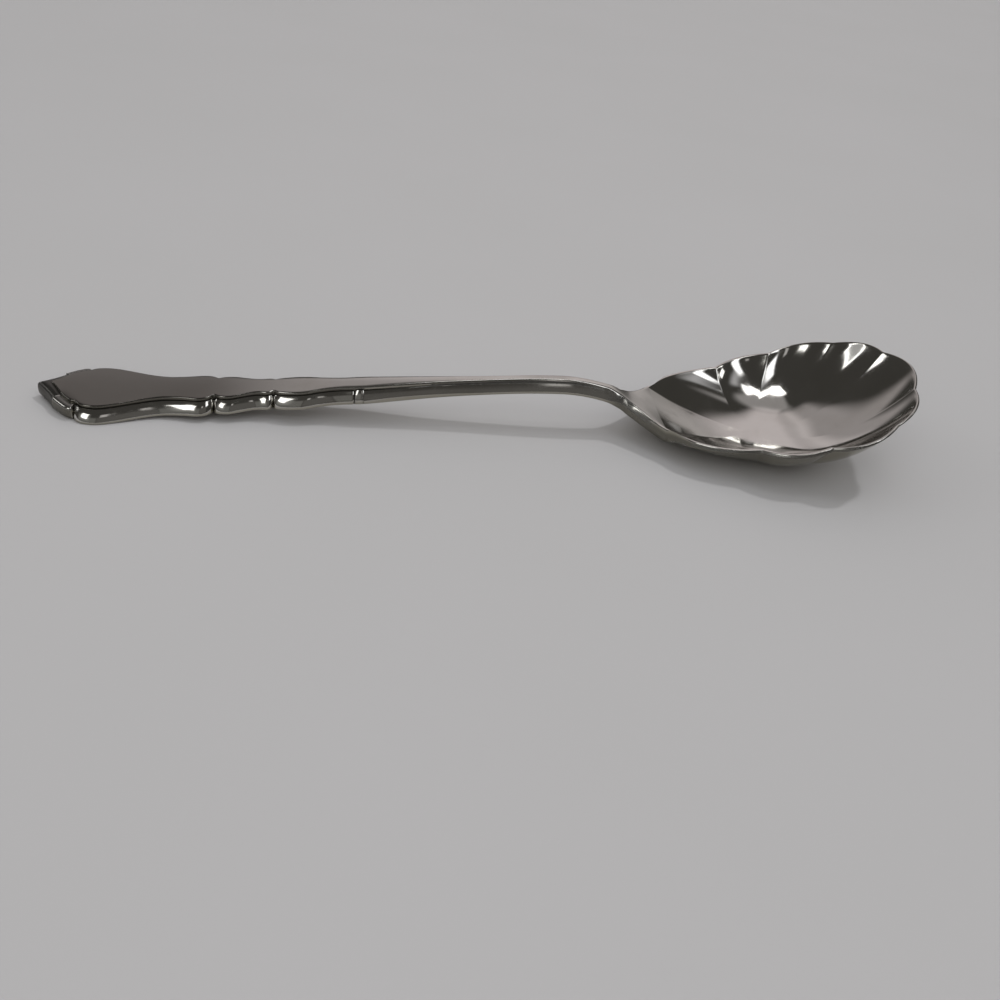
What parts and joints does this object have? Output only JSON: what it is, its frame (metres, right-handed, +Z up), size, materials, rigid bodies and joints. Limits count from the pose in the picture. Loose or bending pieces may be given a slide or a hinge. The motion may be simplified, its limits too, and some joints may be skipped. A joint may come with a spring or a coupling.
{
  "type": "sugar spoon",
  "caption": "One piece metal sugar spoon with a scalloped shell bowl, an arched stem and a bordered handle; scoops and serves sugar.",
  "frame": {"origin": "on the table the spoon rests on, under the middle of its length", "axes": "+X from the handle's end to the bowl's tip, +Z up from the table, +Y across to the left side seen from the handle's end"},
  "size_m": [0.1526, 0.0384, 0.0171],
  "materials": {
    "bowl_metal": "bright polish with fine use scratches",
    "stem_metal": "bright polish with fine use scratches",
    "panel_metal": "polish softened by handling",
    "border_metal": "bright polish, darker in the grooves"
  },
  "bodies": {
    "root": {"bowl": "bowl_metal", "neck": "stem_metal", "stem": "stem_metal", "handle_blade": "panel_metal", "left_border": "border_metal", "right_border": "border_metal", "left_bead": "border_metal", "right_bead": "border_metal", "end_scroll": "border_metal"}
  },
  "joints": []
}
